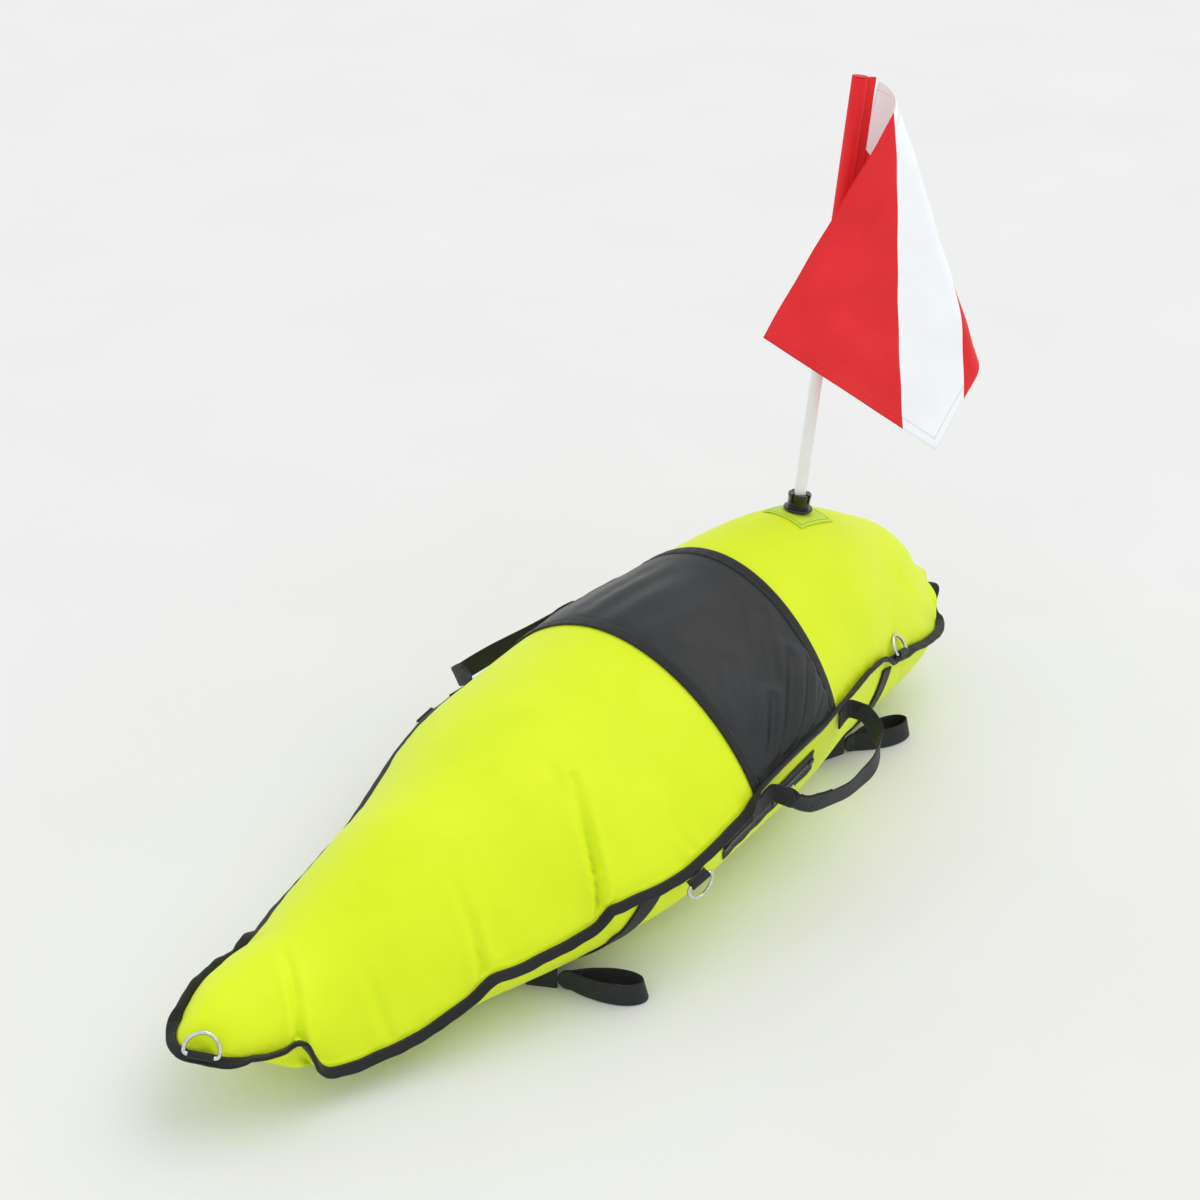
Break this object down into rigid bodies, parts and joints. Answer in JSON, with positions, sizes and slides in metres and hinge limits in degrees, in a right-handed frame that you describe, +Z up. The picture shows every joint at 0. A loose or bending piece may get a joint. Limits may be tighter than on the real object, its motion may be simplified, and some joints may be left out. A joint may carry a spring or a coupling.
{
  "type": "freediving buoy",
  "caption": "Inflatable torpedo-shaped dive float of two bright panels with a saddle, side handles, D-rings, ground loops, a zip with a valve behind it, and a flag on a plug-in pole.",
  "frame": {"origin": "middle of the flat belly, on the ground", "axes": "+X from the nose to the tail, +Z up, -Y to the side with the zip"},
  "size_m": [1.1616, 0.5107, 0.7976],
  "materials": {
    "yellow_cloth": "satin",
    "black_cloth": "satin",
    "black_webbing": "matte",
    "black_plastic": "gloss",
    "steel": "polished",
    "white_plastic": "satin",
    "clear_vinyl": "satin",
    "red_cloth": "satin",
    "patch_cloth": "matte"
  },
  "bodies": {
    "hull": {"cover_top": "yellow_cloth", "cover_bottom": "yellow_cloth", "edge_binding": "black_webbing", "air_bladder": "clear_vinyl", "valve_body": "black_plastic", "saddle_sheet": "black_cloth", "saddle_front_hem": "black_webbing", "saddle_rear_hem": "black_webbing", "saddle_right_hem": "black_webbing", "saddle_left_hem": "black_webbing", "handle_root_front_right": "black_webbing", "handle_root_front_left": "black_webbing", "handle_root_rear_right": "black_webbing", "handle_root_rear_left": "black_webbing", "strap_front_right": "black_webbing", "strap_front_left": "black_webbing", "strap_rear_right": "black_webbing", "strap_rear_left": "black_webbing", "loop_stub_front_right": "black_webbing", "loop_stub_front_left": "black_webbing", "loop_stub_rear_right": "black_webbing", "loop_stub_rear_left": "black_webbing", "ring_tab_nose": "black_webbing", "ring_tab_front_right": "black_webbing", "ring_tab_front_left": "black_webbing", "ring_tab_rear_right": "black_webbing", "ring_tab_rear_left": "black_webbing", "zip_tape_upper": "black_webbing", "zip_tape_lower": "black_webbing", "zip_teeth_upper": "black_plastic", "zip_teeth_lower": "black_plastic", "zip_stop_front": "black_plastic", "zip_stop_rear": "black_plastic", "flag_socket": "black_plastic", "socket_patch": "patch_cloth", "socket_washer": "black_plastic", "socket_nut": "black_plastic"},
    "handle_right": {"handle_right": "black_webbing"},
    "handle_left": {"handle_left": "black_webbing"},
    "ring_nose": {"ring_nose": "steel"},
    "ring_front_right": {"ring_front_right": "steel"},
    "ring_front_left": {"ring_front_left": "steel"},
    "ring_rear_right": {"ring_rear_right": "steel"},
    "ring_rear_left": {"ring_rear_left": "steel"},
    "ground_loop_front_right": {"ground_loop_front_right": "black_webbing"},
    "ground_loop_front_left": {"ground_loop_front_left": "black_webbing"},
    "ground_loop_rear_right": {"ground_loop_rear_right": "black_webbing"},
    "ground_loop_rear_left": {"ground_loop_rear_left": "black_webbing"},
    "zip_slider": {"zip_slider": "black_plastic"},
    "zip_pull": {"zip_pull": "steel"},
    "valve_plug": {"valve_plug": "black_plastic"},
    "pole": {"flag_pole": "white_plastic", "pole_foot_plug": "black_plastic", "pole_tip_cap": "white_plastic"},
    "flag": {"flag": "red_cloth", "flag_sleeve": "red_cloth", "sleeve_top": "red_cloth"}
  },
  "joints": [
    {"name": "handle_right_swing", "type": "hinge", "parent": "hull", "child": "handle_right", "pos_m": [0.07208, -0.21551, 0.14384], "axis": [0.9842, 0.1757, 0.0201], "range_deg": [-113, 42]},
    {"name": "handle_left_swing", "type": "hinge", "parent": "hull", "child": "handle_left", "pos_m": [0.00324, 0.22093, 0.13102], "axis": [0.9886, -0.1038, 0.1093], "range_deg": [-42, 113]},
    {"name": "ring_nose_swing", "type": "hinge", "parent": "hull", "child": "ring_nose", "pos_m": [-0.56723, -0.02657, 0.09497], "axis": [0.6483, -0.7325, -0.2076], "range_deg": [0, 165]},
    {"name": "ring_front_right_swing", "type": "hinge", "parent": "hull", "child": "ring_front_right", "pos_m": [-0.06851, -0.21047, 0.11211], "axis": [0.9749, -0.0639, 0.2132], "range_deg": [-150, 55]},
    {"name": "ring_front_left_swing", "type": "hinge", "parent": "hull", "child": "ring_front_left", "pos_m": [-0.06851, 0.21047, 0.11211], "axis": [0.9749, 0.0639, 0.2132], "range_deg": [-55, 150]},
    {"name": "ring_rear_right_swing", "type": "hinge", "parent": "hull", "child": "ring_rear_right", "pos_m": [0.38919, -0.12714, 0.13636], "axis": [0.9172, 0.2285, -0.3263], "range_deg": [0, 165]},
    {"name": "ring_rear_left_swing", "type": "hinge", "parent": "hull", "child": "ring_rear_left", "pos_m": [0.38919, 0.12714, 0.13636], "axis": [0.9172, -0.2285, -0.3263], "range_deg": [-165, 0]},
    {"name": "loop_front_right_swing", "type": "hinge", "parent": "hull", "child": "ground_loop_front_right", "pos_m": [-0.19207, -0.14207, 0.013], "axis": [0.829, 0.5592, 0], "range_deg": [-20, 90]},
    {"name": "loop_front_left_swing", "type": "hinge", "parent": "hull", "child": "ground_loop_front_left", "pos_m": [-0.19207, 0.14207, 0.013], "axis": [-0.829, 0.5592, 0], "range_deg": [-20, 90]},
    {"name": "loop_rear_right_swing", "type": "hinge", "parent": "hull", "child": "ground_loop_rear_right", "pos_m": [0.34483, -0.09811, 0.013], "axis": [0.309, 0.9511, 0], "range_deg": [-20, 90]},
    {"name": "loop_rear_left_swing", "type": "hinge", "parent": "hull", "child": "ground_loop_rear_left", "pos_m": [0.34483, 0.09811, 0.013], "axis": [-0.309, 0.9511, 0], "range_deg": [-20, 90]},
    {"name": "zip_slide", "type": "slide", "parent": "hull", "child": "zip_slider", "axis": [0.9878, 0.0904, 0.1265], "range_m": [-0.079, 0.055]},
    {"name": "zip_pull_swing", "type": "hinge", "parent": "zip_slider", "child": "zip_pull", "pos_m": [0.0877, -0.18915, 0.11691], "axis": [-0.113, -0.142, 0.9834], "range_deg": [-170, 0]},
    {"name": "valve_plug_slide", "type": "slide", "parent": "hull", "child": "valve_plug", "axis": [0, -0.9885, -0.1514], "range_m": [0, 0.01]},
    {"name": "pole_slide", "type": "slide", "parent": "hull", "child": "pole", "axis": [0.1564, 0.0224, 0.9874], "range_m": [0, 0.08]},
    {"name": "flag_turn", "type": "hinge", "parent": "pole", "child": "flag", "pos_m": [0.41413, 0.0112, 0.79506], "axis": [0.1564, 0.0224, 0.9874], "continuous": true}
  ]
}
